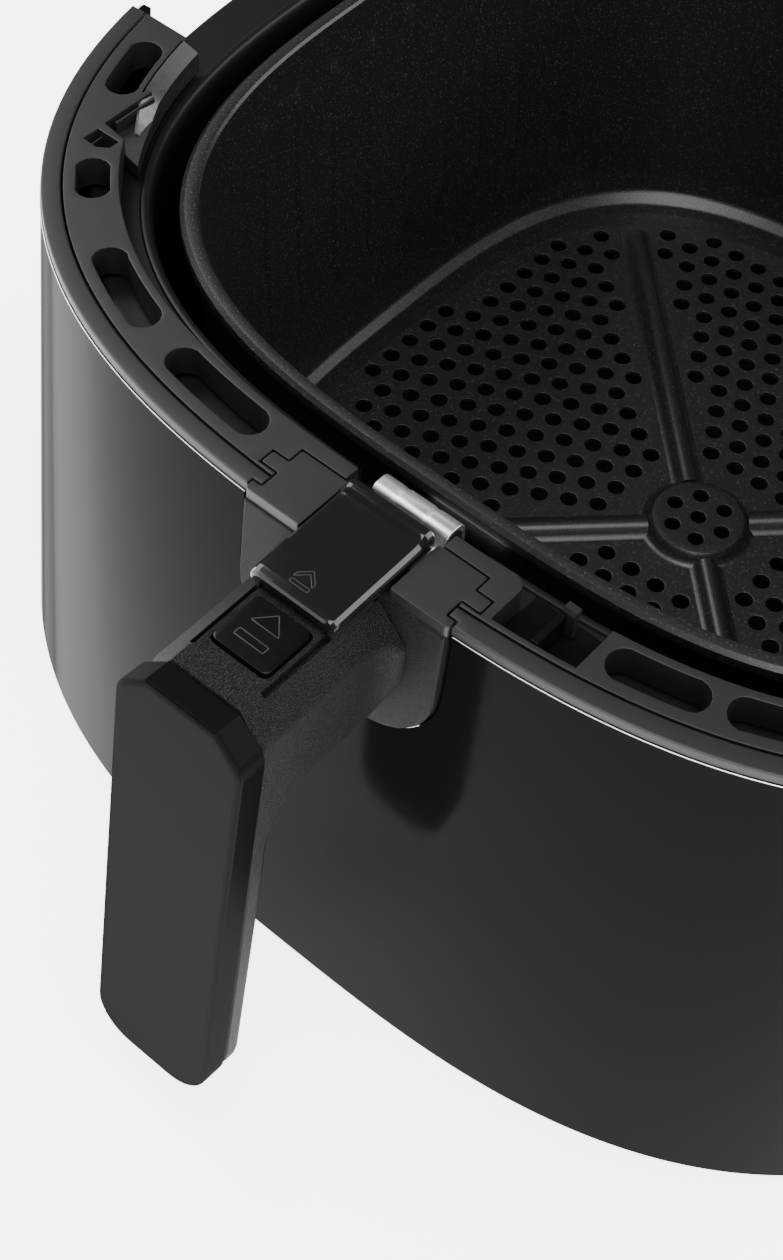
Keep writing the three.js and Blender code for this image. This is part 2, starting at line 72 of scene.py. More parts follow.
GRIP_SWELL = 0.9  # how much wider the grip's back is than the arm, on each side


def cad_box(node):
    """Lowest and highest corners of a CAD node, in millimetres."""
    return [[round(v / MM, 2) for v in corner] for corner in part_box(node)]


# ---- outlines ----
def power(a):
    """Squareness of the outline |x|^n + |y|^n = a^n of half width a."""
    widths = (0, 20, 95, 120, 132, 143, 150, 160)
    powers = (2, 2, 3.15, 3.15, 3, 2.82, 2.78, 2.75)
    return float(np.interp(a, widths, powers))


def outline(a, degrees):
    """Points of the outline of half width a, at angles from the front that are positive to the right."""
    t = np.radians(degrees)
    n = power(a)
    r = a * (np.abs(np.sin(t)) ** n + np.abs(np.cos(t)) ** n) ** (-1 / n)
    return np.stack([r * np.sin(t), -r * np.cos(t)], axis=-1)


def angle_at_y(a, y):
    n = power(a)
    x = (a**n - abs(y) ** n) ** (1 / n)
    return math.degrees(math.atan2(x, -y))


def angle_at_x(a, x):
    n = power(a)
    y = (a**n - abs(x) ** n) ** (1 / n)
    return math.degrees(math.atan2(x, y))


def along(a, start, stop, step=1.5):
    """Part of the outline of half width a between two angles."""
    count = max(2, int(abs(stop - start) / step) + 1)
    return outline(a, np.linspace(start, stop, count))


def rounded(corners, steps=5):
    """A polygon of (u, v, radius) corners with each corner rounded."""
    points = []
    for i, (u, v, radius) in enumerate(corners):
        here = np.array([u, v], float)
        before = np.array(corners[i - 1][:2], float) - here
        after = np.array(corners[(i + 1) % len(corners)][:2], float) - here
        reach_1, reach_2 = np.linalg.norm(before), np.linalg.norm(after)
        if radius == 0:
            points.append(here)
            continue
        before, after = before / reach_1, after / reach_2
        half = math.acos(np.clip(before @ after, -1, 1)) / 2
        run = min(radius / math.tan(half), 0.49 * reach_1, 0.49 * reach_2)
        bend = run * math.tan(half)
        middle = before + after
        centre = here + middle / np.linalg.norm(middle) * bend / math.sin(half)
        first, last = here + before * run - centre, here + after * run - centre
        sweep = math.atan2(first[0] * last[1] - first[1] * last[0], first @ last)
        start = math.atan2(first[1], first[0])
        for k in range(steps + 1):
            t = start + sweep * k / steps
            points.append(centre + bend * np.array([math.cos(t), math.sin(t)]))
    return np.array(points)


def rectangle(u0, v0, u1, v1, radius, steps=5):
    return rounded([(u0, v0, radius), (u1, v0, radius), (u1, v1, radius), (u0, v1, radius)], steps)


def circle(centre, radius, sides=16):
    t = np.linspace(0, 2 * math.pi, sides, endpoint=False)
    return np.stack([centre[0] + radius * np.cos(t), centre[1] + radius * np.sin(t)], axis=-1)


def slot_outline(a, start, stop, half, steps=8):
    """A curved slot with round ends, centred on the outline of half width a."""
    near, far = along(a - half, start, stop, 0.75), along(a + half, start, stop, 0.75)

    def end(degrees, first):
        centre = outline(a, degrees)
        spoke = first - centre
        t = math.atan2(spoke[1], spoke[0]) + np.linspace(0, math.pi, steps + 1)[1:-1]
        return centre + half * np.stack([np.cos(t), np.sin(t)], axis=-1)

    return np.concatenate([far, end(stop, far[-1]), near[::-1], end(start, near[0])])


def signed_area(loop):
    after = np.roll(loop, -1, axis=0)
    return float(np.sum(loop[:, 0] * after[:, 1] - loop[:, 1] * after[:, 0])) / 2


def ccw(loop):
    return loop if signed_area(loop) > 0 else loop[::-1]


def inset(loop, distance):
    """The loop moved to the left of its direction, with mitred corners."""
    def left(v):
        v = v / np.linalg.norm(v, axis=1, keepdims=True)
        return np.stack([-v[:, 1], v[:, 0]], axis=1)

    side = left(loop - np.roll(loop, 1, axis=0)) + left(np.roll(loop, -1, axis=0) - loop)
    return loop + distance * side * (2 / np.sum(side**2, axis=1, keepdims=True))


def level(loop, z):
    return np.column_stack([loop, np.full(len(loop), z)])


# ---- shapes: lists of (vertices, faces) ----
def skin(grid, close_rows=False, close_columns=False, cap_rows=False):
    """Quads over a grid of points; a closed direction wraps round, and a capped one has end faces."""
    grid = np.asarray(grid, float)
    rows, columns = grid.shape[:2]
    index = np.arange(rows * columns).reshape(rows, columns)
    faces = []
    for i in range(rows if close_rows else rows - 1):
        for j in range(columns if close_columns else columns - 1):
            k, m = (i + 1) % rows, (j + 1) % columns
            faces.append((index[i, j], index[i, m], index[k, m], index[k, j]))
    if cap_rows:
        faces += [tuple(index[0][::-1]), tuple(index[-1])]
    return grid.reshape(-1, 3), faces


def within(points, loops):
    """Even-odd test: which points lie inside the area that the loops bound."""
    px, py = points.T
    odd = np.zeros(len(points), bool)
    for loop in loops:
        for (x0, y0), (x1, y1) in zip(loop, np.roll(loop, -1, axis=0)):
            if y0 != y1:
                crosses = (y0 > py) != (y1 > py)
                odd ^= crosses & (px < (x1 - x0) * (py - y0) / (y1 - y0) + x0)
    return odd


def filled(loops, z):
    """A flat face between loops at height z."""
    edges, start = [], 0
    for loop in loops:
        edges += [(start + i, start + (i + 1) % len(loop)) for i in range(len(loop))]
        start += len(loop)
    points = np.concatenate(loops)
    found, _, faces, *_ = delaunay_2d_cdt([Vector(p) for p in points], edges, [], 0, 1e-6)
    found = np.array([tuple(p) for p in found])
    kept = within(np.array([found[list(face)].mean(axis=0) for face in faces]), loops)
    return level(found, z), [face for face, keep in zip(faces, kept) if keep]


def plate(outer, holes, low, high, bevel=0.4, rim=True, openings=()):
    """A flat plate with walled holes and bevelled top edges.

    An opening, or an outer edge with no rim, has no wall, because it joins another shape.
    """
    outer = ccw(outer)
    holes = [ccw(hole)[::-1] for hole in holes]
    rows = [(0, low), (0, high - bevel), (0.3 * bevel, high - 0.3 * bevel), (bevel, high)]
    walled = ([outer] if rim else []) + holes
    plain = ([] if rim else [outer]) + list(openings)
    shapes = [skin([level(inset(loop, d), z) for d, z in rows], close_columns=True) for loop in walled]
    shapes.append(filled([inset(loop, bevel) for loop in walled] + plain, high))
    shapes.append(filled(walled + plain, low))
    return shapes


def turned(profile, degrees=np.arange(0, 360, 1.5), closed=True):
    """A profile of (half width, z) carried all the way round."""
    return skin([level(outline(a, degrees), z) for a, z in profile], close_rows=closed, close_columns=True)


def lathe(profile, centre, sides=32):
    """A round body from an open profile of (radius, z) whose ends lie on its axis."""
    grid = [level(circle(centre, r, sides), z) for r, z in profile]
    return skin(grid, close_columns=True)


def arc(cu, cv, radius, a0, a1, steps=8, squeeze=1.0):
    """Arc points about (cu, cv); squeeze narrows it sideways into an ellipse."""
    t = np.radians(np.linspace(a0, a1, steps + 1))
    return [(cu + squeeze * radius * math.cos(s), cv + radius * math.sin(s)) for s in t]


def moved(shape, change):
    """A shape with its vertices put through a function of the whole array."""
    vertices, faces = shape
    return change(np.array(vertices, float)), faces


def along_y(shape):
    """Turns a shape made along z so that it lies along y."""
    return moved(shape, lambda v: v[:, [0, 2, 1]])


# ---- pieces ----
def new_object(name, shapes):
    work = bmesh.new()
    for vertices, faces in shapes:
        made = [work.verts.new(Vector(v) * MM) for v in vertices]
        for face in faces:
            work.faces.new([made[i] for i in face])
    bmesh.ops.remove_doubles(work, verts=work.verts, dist=2e-6)
    bmesh.ops.recalc_face_normals(work, faces=work.faces)
    mesh = bpy.data.meshes.new(name)
    work.to_mesh(mesh)
    work.free()
    thing = bpy.data.objects.new(name, mesh)
    bpy.context.scene.collection.objects.link(thing)
    return thing


def carve(thing, tools, operation="DIFFERENCE"):
    """Cuts tool shapes out of an object, for good."""
    for shapes in tools:
        tool = new_object("tool", shapes)
        cut = thing.modifiers.new("cut", "BOOLEAN")
        cut.object, cut.operation, cut.solver = tool, operation, "EXACT"
        apply_modifiers(thing)
        bpy.data.objects.remove(tool)


def apply_modifiers(thing):
    graph = bpy.context.evaluated_depsgraph_get()
    mesh = bpy.data.meshes.new_from_object(thing.evaluated_get(graph))
    thing.modifiers.clear()
    thing.data = mesh


def piece(name, shapes, made, body, replaces=(), sharp=35, bevel=0, tools=()):
    """A finished piece from its shapes, less the tool shapes."""
    thing = new_object(name, shapes)
    carve(thing, tools)
    dressed(thing, made, body, replaces, sharp, bevel)


def dressed(thing, made, body, replaces=(), sharp=35, bevel=0):
    """Gives an object its shading, material and body, and hides the CAD nodes that it stands for."""
    mesh = thing.data
    mesh.materials.clear()
    mesh.materials.append(made)
    if bevel:
        edge = thing.modifiers.new("edge", "BEVEL")
        edge.width, edge.segments, edge.limit_method = bevel * MM, 2, "ANGLE"
        edge.angle_limit = math.radians(sharp)
    mesh.shade_smooth()
    mesh.set_sharp_from_angle(angle=math.radians(sharp))
    thing.modifiers.new("normals", "WEIGHTED_NORMAL").keep_sharp = True
    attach(thing, body)
    if replaces:
        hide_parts(*replaces)


# ---- materials ----
def material(name, colour, roughness, metallic=0.0, specular=0.5):
    made = bpy.data.materials.new(name)
    made.use_nodes = True
    shader = made.node_tree.nodes["Principled BSDF"]
    shader.inputs["Base Color"].default_value = (*colour, 1)
    shader.inputs["Roughness"].default_value = roughness
    shader.inputs["Metallic"].default_value = metallic
    shader.inputs["Specular IOR Level"].default_value = specular
    return made


def noise(made, scale, detail=2.0, stretch=(1, 1, 1)):
    """A noise texture in object space, in features per metre."""
    nodes, links = made.node_tree.nodes, made.node_tree.links
    place = nodes.new("ShaderNodeTexCoord")
    mapping = nodes.new("ShaderNodeMapping")
    mapping.inputs["Scale"].default_value = stretch
    texture = nodes.new("ShaderNodeTexNoise")
    texture.inputs["Scale"].default_value = scale
    texture.inputs["Detail"].default_value = detail
    links.new(place.outputs["Object"], mapping.inputs["Vector"])
    links.new(mapping.outputs["Vector"], texture.inputs["Vector"])
    return texture.outputs["Fac"]


def facing(made):
    """0 where the surface is seen square on, rising to 1 at its rim."""
    return made.node_tree.nodes.new("ShaderNodeLayerWeight").outputs["Facing"]


def bump(made, height, distance):
    nodes, links = made.node_tree.nodes, made.node_tree.links
    relief = nodes.new("ShaderNodeBump")
    relief.inputs["Distance"].default_value = distance * MM
    relief.inputs["Strength"].default_value = 1
    links.new(height, relief.inputs["Height"])
    links.new(relief.outputs["Normal"], nodes["Principled BSDF"].inputs["Normal"])


def ramp(made, source, socket, stops):
    """Runs a 0 to 1 source through stops of (place, grey or colour) into a shader socket."""
    nodes, links = made.node_tree.nodes, made.node_tree.links
    colours = nodes.new("ShaderNodeValToRGB")
    elements = colours.color_ramp.elements
    while len(elements) < len(stops):
        elements.new(1)
    for element, (place, value) in zip(elements, stops):
        element.position = place
        element.color = (value, value, value, 1) if isinstance(value, float) else (*value, 1)
    links.new(source, colours.inputs["Fac"])
    links.new(colours.outputs["Color"], nodes["Principled BSDF"].inputs[socket])


def textured(name, colour, roughness, scale, depth, **settings):
    """Moulded plastic with a fine spark-eroded grain."""
    made = material(name, colour, roughness, **settings)
    bump(made, noise(made, scale, 3), depth)
    return made


shell_paint = material("shell paint", (0.003, 0.003, 0.0031), 0.1, specular=0.01)
ramp(shell_paint, noise(shell_paint, 900, 2), "Roughness", [(0.3, 0.09), (0.7, 0.13)])
ramp(shell_paint, facing(shell_paint), "Specular IOR Level",
     [(0.7, 0.0105), (0.84, 0.0005), (0.92, 0.00002)])
land_plastic = material("polished land", (0.008, 0.008, 0.008), 0.3, specular=0.6)
ramp(land_plastic, noise(land_plastic, 700, 2), "Roughness", [(0.3, 0.26), (0.7, 0.38)])
ring_plastic = textured("ring plastic", (0.006, 0.006, 0.0062), 0.45, 2600, 0.012, specular=0.25)
nonstick = textured("non-stick coating", (0.006, 0.006, 0.0062), 0.37, 1500, 0.02, specular=0.3)
ramp(nonstick, noise(nonstick, 1700, 1), "Base Color", [(0.6, 0.0045), (0.74, 0.022)])
pan_coating = textured("pan coating", (0.0028, 0.0028, 0.0029), 0.4, 1400, 0.02, specular=0.14)
textured_plastic = textured("textured plastic", (0.006, 0.006, 0.006), 0.5, 3600, 0.2, specular=0.045)
ramp(textured_plastic, noise(textured_plastic, 4200, 2), "Base Color", [(0.46, 0.003), (0.66, 0.018)])
button_plastic = material("button plastic", (0.002, 0.002, 0.002), 0.22, specular=0.1)
ramp(button_plastic, noise(button_plastic, 500, 2), "Roughness", [(0.3, 0.2), (0.7, 0.26)])
satin_plastic = material("satin plastic", (0.003, 0.003, 0.003), 0.34, specular=0.014)
ramp(satin_plastic, facing(satin_plastic), "Specular IOR Level",
     [(0.3, 0.016), (0.5, 0.0115), (0.64, 0.0025), (0.9, 0.0)])
ramp(satin_plastic, noise(satin_plastic, 1200, 2), "Roughness", [(0.3, 0.31), (0.7, 0.36)])
gloss_plastic = material("gloss plastic", (0.004, 0.004, 0.0045), 0.1, specular=0.3)
ramp(gloss_plastic, noise(gloss_plastic, 300, 2), "Roughness", [(0.3, 0.09), (0.7, 0.13)])
steel = material("stainless sheet", (0.58, 0.58, 0.59), 0.36, metallic=1.0)
ramp(steel, noise(steel, 900, 3, (0.08, 1, 1)), "Roughness", [(0.3, 0.28), (0.7, 0.44)])
icon_paint = material("icon grey", (0.013, 0.013, 0.013), 0.4, specular=0.3)
ramp(icon_paint, noise(icon_paint, 900, 2), "Roughness", [(0.3, 0.36), (0.7, 0.44)])
zinc = material("zinc-plated steel", (0.45, 0.46, 0.47), 0.35, metallic=1.0)
ramp(zinc, noise(zinc, 700, 2), "Roughness", [(0.3, 0.28), (0.7, 0.45)])
rubber = textured("silicone", (0.016, 0.016, 0.016), 0.7, 900, 0.03)
clip_plastic = textured("clip plastic", (0.007, 0.007, 0.0072), 0.4, 900, 0.02, specular=0.2)


# ---- basket ----
def hole_centres():
    """Staggered rows of holes in the four fields between the floor's ribs."""
    pitch, first_row, rows, most = 8.0, 23.84, 12, 14
    row_gap = round(pitch * math.sin(math.radians(60)), 3)
    rib_room, edge_room = 10.9, 3.1
    limit, squareness = FLOOR_HALF - edge_room, 3.15
    centres = []
    for k in range(rows):
        row = first_row + k * row_gap
        shift = 0.5 if k % 2 == 0 else 0.0
        for step in np.arange(-most, most + 1) + shift:
            t = step * pitch
            clear_of_edge = row**squareness + abs(t) ** squareness <= limit**squareness
            if row - abs(t) > rib_room and clear_of_edge:
                centres += [(t, -row), (row, t), (-t, row), (-row, -t)]
    return centres


def flute_depth(y, z):
    """How far the side walls' pressed flutes stand in."""
    middles = np.array([7.2, 21.5, 35.8, 50.1])
    low, high, half, depth = 54.5, 119, 2.3, 1.0
    across = np.min(np.abs(np.abs(y)[..., None] - middles), axis=-1)
    beyond = np.maximum(0, np.maximum(low - z, z - high))
    share = np.clip(1 - (across**2 + beyond**2) / half**2, 0, 1)
    return depth * share**1.5


def basket_wall():
    """The basket's wall and rolled rim, with the angles of its points, which are denser at the flutes."""
    fine, coarse = 0.36, 2.0
    side = np.arange(60, 120, fine)
    rest = np.concatenate([np.arange(-60, 60, coarse), np.arange(120, 240, coarse)])
    degrees = np.sort(np.concatenate([side, side + 180, rest]) % 360)
    inner_fillet = rounded([(FLOOR_HALF, BASKET_FLOOR, 0), (104.6, 22.4, 2), (105.6, 24.9, 2),
                            (108.3, 27.5, 2.6), (109.1, 32.6, 0)], 5)
    draft = 0.0511
    wall = [(109.15 + (z - 31.47) * draft, z) for z in np.arange(34, 130, 2.2)]
    rim = [(114.25, 131.8), (114.4, 132.7), (114.9, 133.35), (115.8, 133.6), (117.2, 133.45),
           (118.1, 132.6), (118.3, 131.2), (118.1, 130.1), (117.5, 129.3), (116.6, 129.0), (115.9, 128.8),
           (115.5, 128)]
    outer_fillet = arc(FLOOR_HALF, 32.4, 14, -5, -90, 10, 0.5)
    profile = [*inner_fillet, *wall, *rim, *outer_fillet]
    vertices, faces = turned(profile, degrees, closed=False)
    inside = np.repeat(np.arange(len(profile)) < len(inner_fillet) + len(wall), len(degrees))
    x, y, z = vertices.T
    on_side = np.abs(x) > 100
    push = np.where(inside & on_side, flute_depth(y, z), 0)
    vertices[:, 0] -= np.sign(x) * push
    return degrees, (vertices, faces)


def basket_floor(degrees):
    """The perforated floor, with a raised boss in its middle."""
    low = BASKET_FLOOR - SHEET
    rise, hole, vent, vent_reach = 3.4, 2.32, 2.1, 7.6
    flank = [(15.8, 0), (15.0, 0.15), (14.2, 0.7), (13.5, 1.7), (12.9, 2.7), (12.2, 3.25), (11.2, rise)]
    turn = np.arange(0, 360, 7.5)
    edge = outline(flank[0][0], turn)
    top = outline(flank[-1][0], turn)
    holes = [circle(c, hole, 14) for c in hole_centres()]
    shapes = plate(outline(FLOOR_HALF, degrees), holes, low, BASKET_FLOOR, 0.3, rim=False, openings=[edge])
    shapes.append(turned([(r, BASKET_FLOOR + h) for r, h in flank], turn, closed=False))
    shapes.append(turned([(r, low + h) for r, h in flank], turn, closed=False))
    vents = [circle((0, 0), vent, 14)]
    vents += [circle((vent_reach * math.cos(t), vent_reach * math.sin(t)), vent, 14)
              for t in np.radians(np.arange(0, 360, 60))]
    shapes += plate(top, vents, low + rise, BASKET_FLOOR + rise, 0.3, rim=False)
    return shapes


def floor_rib(degrees):
    """A long bell-shaped rib from the boss towards a corner."""
    bell = [(-4.4, -0.3), (-4.4, 0.02), (-3.5, 0.25), (-2.7, 1.0), (-2.0, 2.0), (-1.1, 2.65), (0, 2.8),
            (1.1, 2.65), (2.0, 2.0), (2.7, 1.0), (3.5, 0.25), (4.4, 0.02), (4.4, -0.3)]
    stations = [(13.6, 1), (40, 1), (70, 1), (98, 1), (104, 0.97), (108, 0.8), (111, 0.5), (113.4, 0.1)]
    rows = []
    for reach, share in stations:
        lift = 0.45 * np.clip((reach - 106) / 7, 0, 1)
        rows.append([(reach, v, BASKET_FLOOR + lift + (h * share if h > 0 else h)) for v, h in bell])
    t = math.radians(degrees)
    spin = np.array([[math.cos(t), -math.sin(t), 0], [math.sin(t), math.cos(t), 0], [0, 0, 1]])
    return moved(skin(rows, close_columns=True, cap_rows=True), lambda v: v @ spin.T)


def build_basket():
    degrees, wall = basket_wall()
    piece("basket_shell", [wall, *basket_floor(degrees)], nonstick, "basket",
          ["basket"], sharp=24)
    piece("basket_ribs", [floor_rib(d) for d in CORNERS], nonstick, "basket", sharp=50)


# ---- pan ----
def build_pan():
    inner = arc(104.6, 14.6, 13, -90, -8, 8)
    outer = arc(106, 14, 14, -8, -90, 8)
    rim = [(123.6, 131.6), (124.3, 133.2), (124.8, 133.8), (125.5, 134.0), (126.2, 133.8), (126.6, 133.3)]
    flange = [(137, 133.3), (137.6, 133.2), (138, 132.9), (138, 132.4), (137.6, 132.1), (126.4, 132.1)]
    profile = [(0.01, 1.6), *inner, *rim, *flange, (125.0, 130.8), *outer, (0.01, 0)]
    gap = plate(rectangle(-17, -130.8, 17, -112, 1), [], 117, 150, 0.1)
    piece("pan_body", [turned(profile)], pan_coating, "drawer", ["pan"], tools=[gap])


# ---- shell ----
def shell_half(z):
    share = (z - SHELL_FOOT) / (SHELL_TOP - SHELL_FOOT)
    return SHELL_FOOT_HALF + (SHELL_TOP_HALF - SHELL_FOOT_HALF) * share


def notch_half(z):
    """Half width of the U-shaped notch at a height."""
    below = min(max(NOTCH_BOTTOM + NOTCH_CORNER - z, 0), NOTCH_CORNER)
    return NOTCH_HALF - NOTCH_CORNER + math.sqrt(NOTCH_CORNER**2 - below**2)


def shell_row(z, start, stop, count):
    """Points of the shell's outside at height z between two angles."""
    return level(outline(shell_half(z), np.linspace(start, stop, count)), z)


def build_shell():
    turn = np.radians(np.linspace(0, 90, 9))
    low_rows = np.linspace(SHELL_FOOT, NOTCH_BOTTOM, 22)
    high_rows = [NOTCH_BOTTOM + NOTCH_CORNER * (1 - math.cos(t)) for t in turn]
    high_rows += list(np.linspace(NOTCH_BOTTOM + NOTCH_CORNER, SHELL_TOP, 7)[1:])
    shapes = []

    def limits(z):
        half = shell_half(z)
        return angle_at_x(half, notch_half(max(z, NOTCH_BOTTOM))), angle_at_y(half, SHELL_END_Y)

    for side in (-1, 1):
        rows = []
        for z in [*low_rows, *high_rows[1:]]:
            near, far = limits(z)
            rows.append(shell_row(z, side * near, side * far, 90))
        shapes.append(skin(rows))
    rows = [shell_row(z, -limits(z)[0], limits(z)[0], 12) for z in low_rows]
    shapes.append(skin(rows))
    thing = new_object("shell_panel", shapes)
    wall = thing.modifiers.new("wall", "SOLIDIFY")
    wall.thickness, wall.offset = 2.2 * MM, -1
    apply_modifiers(thing)
    dressed(thing, shell_paint, "drawer", ["front_shell"], sharp=40, bevel=0.25)


def build_bosses():
    """Screw bosses behind the shell's rear edges, cut to the inside of the shell."""
    inside = [skin([level(outline(shell_half(z) - 1, np.arange(0, 360, 3)), z) for z in (-5, 145)],
                   close_columns=True, cap_rows=True)]
    post = along_y(lathe([(0.01, -76), (5, -76), (5, -59.3), (4.7, -59), (0.01, -59)], (0, 0), 24))
    bore = along_y(lathe([(0.01, -59), (1.9, -59), (1.9, -73), (0.01, -73)], (0, 0), 20))
    for side, word in SIDES:
        for number, (x, z) in enumerate(PANEL_SCREWS, 1):
            place = np.array([side * x, 0, z])
            thing = new_object(f"shell_boss_{word}_{number}", [moved(post, lambda v: v + place)])
            carve(thing, [inside], "INTERSECT")
            carve(thing, [[moved(bore, lambda v: v + place)]])
            dressed(thing, shell_paint, "drawer")


def highlight_wire(name, points, radius):
    """A thin bright steel wire along a line of points, used to paint a highlight line."""
    line = bpy.data.curves.new(name, "CURVE")
    line.dimensions = "3D"
    line.bevel_depth, line.bevel_resolution, line.use_fill_caps = radius * MM, 2, True
    spline = line.splines.new("POLY")
    spline.points.add(len(points) - 1)
    for knot, place in zip(spline.points, points):
        knot.co = (*(Vector(place) * MM), 1)
    shaped = bpy.data.objects.new(name, line)
    bpy.context.scene.collection.objects.link(shaped)
    graph = bpy.context.evaluated_depsgraph_get()
    mesh = bpy.data.meshes.new_from_object(shaped.evaluated_get(graph))
    bpy.data.objects.remove(shaped)
    thing = bpy.data.objects.new(name, mesh)
    bpy.context.scene.collection.objects.link(thing)
    dressed(thing, steel, "drawer", sharp=60)


def build_edge_highlight():
    """Thin bright steel wires that paint the highlight line along the shell's top edge and round the lower
    corner of the notch.
    """
    z = SHELL_TOP + 0.05
    half = shell_half(z)
    stop = angle_at_y(half, SHELL_END_Y) - 0.3
    near = angle_at_x(half, NOTCH_HALF)
    for side, word in SIDES:
        top = shell_row(z, side * stop, side * near, 90)
        highlight_wire(f"edge_highlight_{word}", top, 0.13)
    # the notch wire runs only up the lower part of the corner, where the painted highlight falls
    heights = [NOTCH_BOTTOM + NOTCH_CORNER * (1 - math.cos(t)) for t in np.radians(np.linspace(0, 55, 12))]
    right = []
    for h in heights:
        a = shell_half(h)
        right.append([*outline(a, angle_at_x(a, notch_half(h))), h])
    left = [[-x, y, h] for x, y, h in right]
    highlight_wire("edge_highlight_notch", left[::-1] + right, 0.15)


# ---- ring frame ----
SLOT_CENTRE, SLOT_HALF = 136.6, 4.0
LEFT_SLOTS = [(-23, -15), (-35.6, -29.2), (-46.3, -44.5), (-62, -57.6)]
RIGHT_SLOTS = [(22.3, 27.2), (31.4, 37), (44.5, 46.3), (57.6, 62)]
RECESS = {"x0": 29.7, "x1": 48.1, "front": 142.2, "floor": 135.4}
# The pocket in the ring's inner edge near its rear end, and the ledge behind it.
CATCH = {"rear": -77.8, "front": -93.4, "wall": 119.3, "inner": 127.4, "floor": 138.0}
SADDLE_HALF = 12.3


def opening(side, gap=0.0):
    """Interlocking edge between ring and handle mount, from the inside outwards."""
    steps = [(23.6, -134.2, -1), (23.6, -138.1, -1), (27.7, -138.1, -1), (27.7, -142.3, 1),
             (23.3, -142.3, 1), (23.3, -146.3, -1)]
    return [(side * (x - gap), y + way * gap) for x, y, way in steps]


def ring_half(side):
    """Plan of the ring on one side, from its rear end along the outer edge to the front and back."""
    outer_end = angle_at_y(RING_OUTER, RING_END_Y)
    inner_end = angle_at_y(RING_INNER, RING_END_Y)
    outer = along(RING_OUTER, outer_end, angle_at_x(RING_OUTER, 23.3))
    start = angle_at_x(RING_INNER, SADDLE_HALF)
    pocket_start, pocket_end = (angle_at_y(RING_INNER, CATCH[k]) for k in ("front", "rear"))
    inner = []
    if side > 0:
        inner.append(along(RING_INNER, start, angle_at_x(RING_INNER, RECESS["x0"] - 7)))
        inner.append(rounded([(RECESS["x0"] - 7, -130.3, 0), (RECESS["x0"], -130.0, 3),
                              (RECESS["x0"], -137, 0)], 6)[1:-1])
        inner.append(recess_front(0))
        start = angle_at_x(RING_INNER, RECESS["x1"])
    inner.append(along(RING_INNER, start, pocket_start))
    inner.append([(CATCH["wall"], CATCH["front"] + 0.9), (CATCH["wall"], CATCH["rear"])])
    inner.append(along(RING_INNER, pocket_end, inner_end))
    steps = [*opening(1)[::-1][1:], (SADDLE_HALF, -134.2)]
    return np.concatenate([outer, steps, *inner]) * (side, 1)


def recess_front(gap):
    """Front edge of the recess, which follows the ring."""
    a = RECESS["front"] - gap
    return along(a, angle_at_x(a, RECESS["x0"] + gap), angle_at_x(a, RECESS["x1"] - gap))


def ring_end_details(side):
    """The chamfered ledge inside the ring's rear end, and the floor and rib of the pocket below it."""
    inner, floor, wall = CATCH["inner"], CATCH["floor"], CATCH["wall"]
    rear, front, tip = (angle_at_y(inner, y) for y in (RING_END_Y, CATCH["rear"], CATCH["front"] + 7))
    facet = 2.6
    rows = []
    for degrees in np.linspace(rear, tip, 16):
        beyond = np.clip((front - degrees) / (front - tip), 0, 1)
        top = RING_TOP - 3.3 * beyond
        edge = RING_INNER + 0.15 - 1.5 * beyond
        outer = RING_INNER + 0.6 - 1.4 * beyond
        profile = [(outer, RING_LOW), (outer, top), (edge, top), (inner, top - facet),
                   (inner - 0.2, RING_LOW)]
        rows.append([(*outline(a, degrees), z) for a, z in profile])
    ledge = skin(rows, close_columns=True, cap_rows=True)
    low = np.concatenate([along(inner - 0.3, tip - 4, front),
                          [(wall + 0.5, CATCH["rear"] + 0.3), (wall + 0.5, CATCH["front"]),
                           (112.6, CATCH["front"] - 0.4)]])
    shapes = [ledge, *plate(low, [], RING_LOW, floor, 0.2)]
    rib = rectangle(wall - 1.3, -90.2, wall - 0.7, CATCH["rear"] - 0.4, 0.2, 2)
    shapes += plate(rib, [], floor - 1, 141.2, 0.15)
    return [moved(s, lambda v: v * (side, 1, 1)) for s in shapes]


def diamond(side):
    """Plan of the small pocket beside the ring's catch."""
    corners = [(119.1, -99.2), (119.0, -94.9), (112.7, -94.9), (112.8, -97.6), (115.2, -99.4)]
    return np.array(corners) * (side, 1)


def diamond_details(side):
    """Floor, sloping face and rib inside the small pocket."""
    slope = [(112.2, 141.6), (116.2, 137.4), (119.6, 137.4), (119.6, 135), (112.2, 135)]
    run = skin([[(side * x, y, z) for x, z in slope] for y in (-99.7, -94.6)], close_columns=True,
               cap_rows=True)
    rib = plate(rectangle(-0.2, -99.3, 0.2, -95, 0.1, 2) + (side * 117.7, 0), [], 137, 140.6, 0.1)
    return [run, *rib]


def build_ring():
    shapes = []
    for (side, word), slots in zip(SIDES, (LEFT_SLOTS, RIGHT_SLOTS)):
        holes = [slot_outline(SLOT_CENTRE, a0, a1, SLOT_HALF) for a0, a1 in slots]
        shapes += plate(ring_half(side), [*holes, diamond(side)], RING_LOW, RING_TOP, 0.25)
        land, *pocket = ring_end_details(side)
        slope, *rib = diamond_details(side)
        piece(f"ring_land_{word}", [land, slope], land_plastic, "drawer", sharp=28)
        shapes += pocket + rib
    low_bar = np.concatenate([along(RING_INNER, -6.1, 6.1),
                              [(SADDLE_HALF, -134.1), (-SADDLE_HALF, -134.1)]])
    shapes += plate(low_bar, [], RING_LOW, 138, 0.3)
    piece("ring_top", shapes, ring_plastic, "drawer", ["ring_frame"], sharp=28)


def build_lips():
    for side, word in SIDES:
        outer = along(LIP_OUTER, angle_at_y(LIP_OUTER, RING_END_Y), angle_at_x(LIP_OUTER, 25.6))
        inner = along(LIP_INNER, angle_at_x(LIP_INNER, 23.3), angle_at_y(LIP_INNER, RING_END_Y))
        plan = np.concatenate([outer, [(25.6, -146.3), (23.3, -146.3)], inner]) * (side, 1)
        piece(f"lip_{word}", plate(plan, [], LIP_LOW, RING_TOP, 0.5), ring_plastic, "drawer",
              [f"outer_lip_{word}"], sharp=28)


